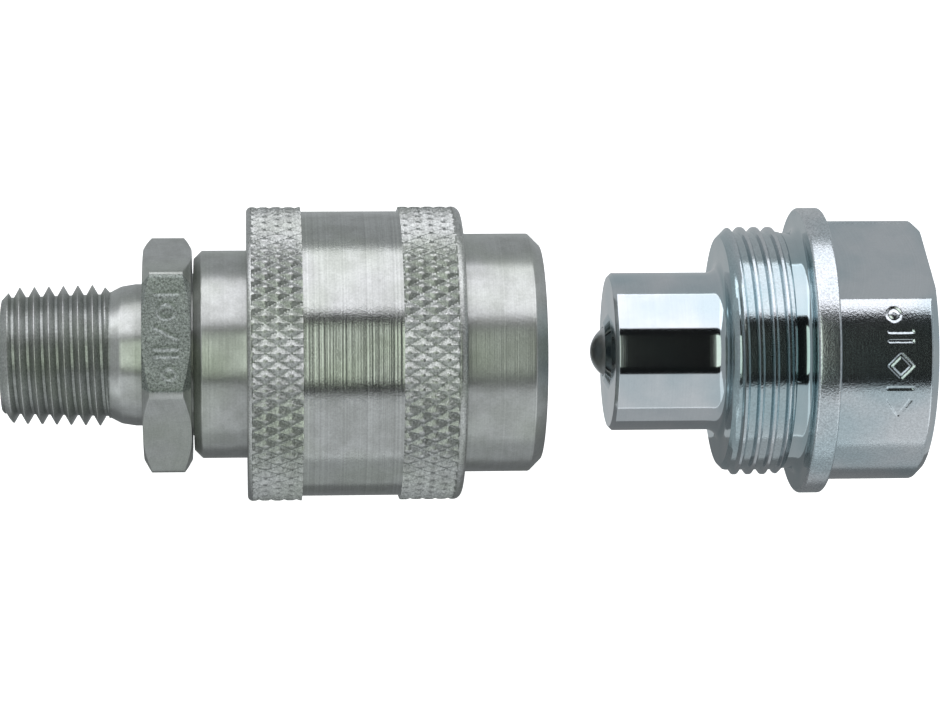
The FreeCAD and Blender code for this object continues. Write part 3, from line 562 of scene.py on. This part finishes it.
# nipple: probe, thread, relief, flange and the rear with its two flats
nippleSize = {"probeRadius": 7.8, "probeLength": 11.0, "probeBevel": 0.35, "probeFillet": 1.3, "tipHeight": 0.51,
              "tipRadius": 2.9, "tipFoot": 3.8, "orifice": 2.45, "edge": -0.314, "coneEnd": 0.836, "seatBore": 3.6,
              "threadLength": 6.1, "threadRoot": 11.83, "threadDepth": 0.47, "threadLead": 11.35,
              "crestFlat": 0.24, "firstCrest": 0.75, "threadEase": 0.06, "threadRunOut": 1.0,
              "relief": 11.7, "reliefFillet": 1.45, "flangeStart": 18.7, "flangeEnd": 21.0, "flangeRadius": 14.17,
              "flangeFoot": 13.2, "rearRadius": 12.84, "length": 30.8, "rearBevel": 0.8, "flats": 22.2,
              "flatLean": 52.0, "flatEdge": 0.1, "chamberStart": 5.01, "chamber": 4.4, "chamberEnd": 12.44,
              "retainerBore": 5.6, "grooveStart": 15.0, "grooveEnd": 16.03, "grooveRadius": 6.1,
              "portFloor": 16.43, "portRadius": 7.25, "portLength": 11.0, "portDepth": 0.85, "portCrest": 8.2,
              "portMouth": 8.9, "portRim": 0.3, "portLead": 0.8, "portTaper": 1 / 32, "portFlat": 0.12,
              "portFirst": 0.7, "portEase": 0.03, "portRunOut": 1.2,
              "markStart": 25.3, "markMiddle": 26.9, "markEnd": 28.5, "markStep": 0.1, "markLean": 8,
              "markSpread": 31, "markDepth": 0.07, "markWidth": 0.21,
              # the valley and relief values paint shade into the thread roots, the relief groove and the corner at
              # the thread's front face
              "valleyShade": 0.4, "reliefShade": 0.5, "threadWear": 0.4, "flangeWear": 1.0, "rearWear": 0.55,
              # plain punched strokes round the top of the rear, across it and along it
              "mark": [("ring", 5.2, -0.6, 0.55), ("line", 3.5, -1.1, 3.5, 1.1), ("line", 2.6, -1.1, 2.6, 1.1),
                       ("line", 1.3, 0, 0.2, 1.1), ("line", 0.2, 1.1, -0.9, 0), ("line", -0.9, 0, 0.2, -1.1),
                       ("line", 0.2, -1.1, 1.3, 0), ("line", -2.0, -1.1, -2.0, 1.1),
                       ("line", -3.2, -1.1, -4.8, 0), ("line", -4.8, 0, -3.2, 1.1)]}


def nippleBody(size):
    # stations are counted from the probe's face; the raised ball seat stands in front of it by tipHeight
    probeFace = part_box("nipple_body")[0].x / milli + size["tipHeight"]
    at = lambda station: probeFace + station
    face, threadStart, threadEnd = at(0), at(size["probeLength"]), at(size["probeLength"] + size["threadLength"])
    flangeStart, flangeEnd, rearEnd = at(size["flangeStart"]), at(size["flangeEnd"]), at(size["length"])
    probe, relief, rear, flange = size["probeRadius"], size["relief"], size["rearRadius"], size["flangeRadius"]
    portStart, portEnd = at(size["length"] - size["portLength"]), at(size["length"] - size["portLead"])
    markLean, markSpread = math.radians(90 + size["markLean"]), math.radians(size["markSpread"])
    angles = fullTurn(320, [np.arange(markLean - markSpread, markLean + markSpread, 0.11 / rear)])
    limit = flatSided(size["flats"] / 2, 2, size["flatLean"])

    def rearShape(stations, radii, angles):
        behind = stations[0] > flangeEnd - 1e-6
        cut = softLeast(radii, limit(angles), size["flatEdge"]) if behind else radii
        across, along = (markLean - angles) * rear, stations - at(size["markMiddle"])
        near = np.abs(angles - markLean) < markSpread
        return cut - size["markDepth"] * near * punched(across, along, size["mark"], size["markWidth"])

    thread = {"start": threadStart, "end": threadEnd, "root": size["threadRoot"], "depth": size["threadDepth"],
              "crestFlat": size["crestFlat"], "ease": size["threadEase"], "phase": size["firstCrest"],
              "startRadius": size["threadLead"], "endRadius": relief, "runOut": size["threadRunOut"]}
    port = {"start": portStart, "end": portEnd, "root": size["portRadius"], "depth": size["portDepth"],
            "taper": size["portTaper"], "crestFlat": size["portFlat"], "ease": size["portEase"],
            "phase": size["portFirst"], "startRadius": size["portRadius"], "endRadius": size["portCrest"],
            "runOut": size["portRunOut"]}
    tip, bevel = at(-size["tipHeight"]), size["probeBevel"]
    rows = [*turnedRows([(at(size["edge"]), size["orifice"]), (tip, size["orifice"], 0.05),
                         (tip, size["tipRadius"], 0.12), (face, size["tipFoot"], 0.2),
                         (face, probe - bevel, 0.08), (at(bevel), probe, 0.12),
                         (threadStart, probe, size["probeFillet"]), (threadStart, size["threadLead"])],
                        angles, 0.9),
            *threadRows(thread, angles),
            *turnedRows([(threadEnd, relief), (flangeStart, relief, size["reliefFillet"]),
                         (flangeStart, flange, 0.35), (flangeEnd, flange, 0.3),
                         (flangeEnd, size["flangeFoot"])], angles, 0.7),
            # closer rows where the strokes are
            *turnedRows([(flangeEnd + hair, rear), (at(size["markStart"] - size["markStep"]), rear)],
                        angles, 0.7, rearShape),
            *turnedRows([(at(size["markStart"]), rear), (at(size["markEnd"]), rear)],
                        angles, size["markStep"], rearShape),
            *turnedRows([(at(size["markEnd"] + size["markStep"]), rear), (rearEnd - size["rearBevel"], rear, 0.4),
                         (rearEnd, rear - size["rearBevel"], 0.2), (rearEnd, size["portMouth"] + size["portRim"])],
                        angles, 0.15, rearShape),
            *turnedRows([(rearEnd, size["portMouth"], 0.1), (portEnd, size["portCrest"])], angles, 0.5),
            *threadRows(port, angles)[::-1],
            *turnedRows([(portStart, size["portRadius"]), (at(size["portFloor"]), size["portRadius"]),
                         (at(size["portFloor"]), size["retainerBore"]),
                         (at(size["grooveEnd"]), size["retainerBore"]),
                         (at(size["grooveEnd"]), size["grooveRadius"]),
                         (at(size["grooveStart"]), size["grooveRadius"]),
                         (at(size["grooveStart"]), size["retainerBore"]),
                         (at(size["chamberEnd"]), size["retainerBore"]),
                         (at(size["chamberEnd"]), size["chamber"]), (at(size["chamberStart"]), size["chamber"]),
                         (at(size["chamberStart"]), size["seatBore"]),
                         (at(size["coneEnd"]), size["seatBore"])], angles, 2.5)]
    piece = latheMesh("nippleBodySteel", rows, angles)
    stations, radii = axisSpots(piece)[:2]
    offProbe = radii > probe + 0.3
    inThread = (stations > threadStart) & (stations < threadEnd) & (radii > size["threadLead"] - 0.35)
    inRelief = (stations > threadEnd) & (stations < flangeStart + hair)
    onFace = np.abs(stations - threadStart) < 0.3
    onFlange = (stations > flangeStart) & (stations < flangeEnd + hair) & (radii > size["flangeFoot"] + 0.3)
    onRear = (stations > flangeEnd + hair) & (radii > rear - 0.2)
    # painted shade: the thread roots are darker the deeper they lie, and the relief groove and the thread's front
    # face are darkened too
    depth = (size["threadRoot"] + size["threadDepth"] - radii) / size["threadDepth"]
    valley = size["valleyShade"] * np.clip(depth, 0, 1) * inThread
    paint(piece, "darkening", np.maximum(valley, size["reliefShade"] * ((inRelief | onFace) & offProbe)))
    paint(piece, "worn",
          size["threadWear"] * inThread + size["flangeWear"] * onFlange + size["rearWear"] * onRear)
    return finished(piece, "nipple_body", "nipple", brightSteel)


# check balls

def checkBall(name, node, body):
    low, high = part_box(node)
    middle, radius = (low + high) / 2, (high.x - low.x) / 2
    work = bmesh.new()
    bmesh.ops.create_icosphere(work, subdivisions=5, radius=radius)
    bmesh.ops.translate(work, verts=work.verts, vec=middle)
    mesh = bpy.data.meshes.new(name)
    work.to_mesh(mesh)
    work.free()
    mesh.polygons.foreach_set("use_smooth", [True] * len(mesh.polygons))
    piece = bpy.data.objects.new(name, mesh)
    bpy.context.scene.collection.objects.link(piece)
    return finished(piece, node, body, ballSteel)


hoseAdapter(adapter)
couplerBody(couplerSize)
couplingCollar(collarSize)
nippleBody(nippleSize)
checkBall("couplerBallPolished", "coupler_check_ball", "coupler_ball")
checkBall("nippleBallPolished", "nipple_check_ball", "nipple_ball")
print("steel pieces made")

insideFinish = {"bright_zinc_steel": brightSteel, "satin_zinc_steel": satinSteel, "spring_steel": springSteel,
                "nitrile_rubber": nitrile, "ptfe": skivedPtfe, "ball_steel": ballSteel}
for part in frame["record"]["subparts"]:
    node = frame["nodes"][part["node"]]
    node.data.materials.clear()
    node.data.materials.append(insideFinish[part["material_slot"]])


# studio: spans, heights and places are metres; the overhead cards give their middle along X, width and glow
studio = {"floor": "#F4F4F4", "floorSpan": 6, "floorGlow": 0.92, "table": "#E8EDF0", "tableGlow": 0.56,
          "shadeSpan": (0.12, 0.027), "shadeMiddle": -0.0225, "shadeGlow": 0.24,
          "key": "#FAFAFF", "keyGlow": 1.62, "fill": "#F3F7FA", "fillGlow": 0.75, "endGlow": 0.45,
          "cardWidth": 1.6, "cardHeight": 0.85, "cardAway": 0.55,
          "overhead": "#E6F0E2", "overheadHeight": 0.6, "overheadDepth": 0.5,
          "overheadFar": (-0.205, 0.41, 1.5), "overheadNear": (0.029, 0.058, 0.48),
          "skyColour": "#8E9496", "sky": 0.03, "backdrop": "#F2F2F2"}


def paperFloor(size):
    # uncoated white paper: it scatters light evenly and glows a little, as under a bright studio
    bpy.ops.mesh.primitive_plane_add(size=size["floorSpan"], location=(0, 0, 0))
    floor = bpy.context.object
    floor.name = "studioFloor"
    material, tree = newMaterial("matt white paper")
    matt = addNode(tree, "ShaderNodeBsdfDiffuse", {"Color": linear(size["floor"])})
    glow = addNode(tree, "ShaderNodeEmission", {"Color": linear("#FFFFFF"), "Strength": size["floorGlow"]})
    both = addNode(tree, "ShaderNodeAddShader", links={0: matt.outputs[0], 1: glow.outputs[0]})
    addNode(tree, "ShaderNodeOutputMaterial", links={"Surface": both.outputs[0]})
    floor.data.materials.append(material)
    floor.visible_glossy = False


def mirroredTable(size):
    # what the steel mirrors below it: a table darker than the paper, and in front the object's own shade
    wide = (size["floorSpan"], size["floorSpan"])
    for name, span, spot, glow in [("table", wide, (0, 0, -2 * milli), size["tableGlow"]),
                                   ("tableShade", size["shadeSpan"], (0, size["shadeMiddle"], -1 * milli),
                                    size["shadeGlow"])]:
        bpy.ops.mesh.primitive_plane_add(size=1, location=spot)
        table = bpy.context.object
        table.name = name
        table.scale = (*span, 1)
        shade, tree = newMaterial(name + " grey")
        dim = addNode(tree, "ShaderNodeEmission", {"Color": linear(size["table"]), "Strength": glow})
        addNode(tree, "ShaderNodeOutputMaterial", links={"Surface": dim.outputs[0]})
        table.data.materials.append(shade)
        table.visible_camera = table.visible_diffuse = table.visible_shadow = False


def softCards(size):
    # one card at each side and each end, and two overhead: a wide one over the coupler half and beyond,
    # and a narrow dimmer one over the front of the nipple
    wide, tall, away = size["cardWidth"], size["cardHeight"], size["cardAway"]
    deep, up, middle = size["overheadDepth"], size["overheadHeight"], size["cardHeight"] / 2
    cards = [("keyCard", (0, away, middle), (0, 1, 0), wide, tall, size["key"], size["keyGlow"]),
             ("fillCard", (0, -away, middle), (0, -1, 0), wide, tall, size["fill"], size["fillGlow"]),
             ("hoseEndCard", (-away, 0, middle), (-1, 0, 0), wide, tall, size["fill"], size["endGlow"]),
             ("portEndCard", (away, 0, middle), (1, 0, 0), wide, tall, size["fill"], size["endGlow"])]
    for name in ("overheadFar", "overheadNear"):
        place, width, glow = size[name]
        cards.append((name, (place, 0, up), (0, 0, 1), width, deep, size["overhead"], glow))
    for name, spot, side, width, height, colour, glow in cards:
        light = bpy.data.lights.new(name, "AREA")
        light.shape = "RECTANGLE"
        light.size, light.size_y = width, height
        light.energy = glow * math.pi * width * height    # glow is an area light's power over pi and its area
        light.color = linear(colour)[:3]
        card = bpy.data.objects.new(name, light)
        bpy.context.scene.collection.objects.link(card)
        card.location = spot
        card.rotation_euler = Vector(side).to_track_quat("Z", "Y").to_euler()
        card.visible_camera = False


def studioWorld(size):
    # a dim room for the lighting, and a pale backdrop where the camera looks past the paper
    world = bpy.data.worlds.new("dimStudio")
    world.use_nodes = True
    tree = world.node_tree
    tree.nodes.clear()
    seen = addNode(tree, "ShaderNodeLightPath")
    dimSky = addNode(tree, "ShaderNodeBackground",
                     {"Color": linear(size["skyColour"]), "Strength": size["sky"]})
    backdrop = addNode(tree, "ShaderNodeBackground", {"Color": linear(size["backdrop"]), "Strength": 1.0})
    either = addNode(tree, "ShaderNodeMixShader",
                     links={0: seen.outputs["Is Camera Ray"], 1: dimSky.outputs[0], 2: backdrop.outputs[0]})
    addNode(tree, "ShaderNodeOutputWorld", links={"Surface": either.outputs[0]})
    bpy.context.scene.world = world


# away and aim are metres, lean and roll degrees, lens millimetres
cameraSize = {"away": 0.330, "lean": 4.0, "roll": 0.4, "aim": (0.0007, 0.0), "lens": 127.8}


def placeCamera(size):
    data = bpy.data.cameras.new("studioCamera")
    data.lens, data.sensor_width = size["lens"], 36
    data.clip_start, data.clip_end = 0.01, 20
    camera = bpy.data.objects.new("studioCamera", data)
    bpy.context.scene.collection.objects.link(camera)
    aim = Vector((*size["aim"], axisHeight))
    lean = math.radians(size["lean"])
    toward = Vector((math.sin(lean), 0, -math.cos(lean)))
    stand = aim - toward * size["away"]
    roll = math.radians(size["roll"])
    upward = Vector((math.sin(roll) * math.cos(lean), math.cos(roll), math.sin(roll) * math.sin(lean)))
    right = toward.cross(upward).normalized()
    upward = right.cross(toward)
    columns = [(*column, 0) for column in (right, upward, -toward)] + [(*stand, 1)]
    camera.matrix_world = Matrix(columns).transposed()
    bpy.context.scene.camera = camera


paperFloor(studio)
mirroredTable(studio)
softCards(studio)
studioWorld(studio)
placeCamera(cameraSize)
bpy.context.scene.view_settings.view_transform = "Standard"
print("studio set")
